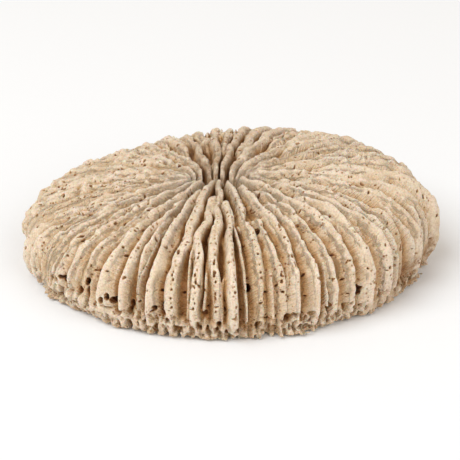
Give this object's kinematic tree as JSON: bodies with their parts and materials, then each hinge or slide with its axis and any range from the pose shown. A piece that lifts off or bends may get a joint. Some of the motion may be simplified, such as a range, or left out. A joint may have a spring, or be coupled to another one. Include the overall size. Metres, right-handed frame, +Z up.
{
  "type": "mushroom coral skeleton",
  "caption": "Low domed dried coral skeleton with upright plates spreading from a slit in its crown, resting on its hollow underside.",
  "frame": {"origin": "bottom centre of the skeleton's own box, on the surface that it rests on", "axes": "+Z up out of the crown, +X along the slit in the crown towards the higher side, -Y towards the front rim"},
  "size_m": [0.1496, 0.141, 0.0377],
  "materials": {
    "coral_skeleton": "matte"
  },
  "bodies": {
    "root": {"coral": "coral_skeleton"}
  },
  "joints": []
}
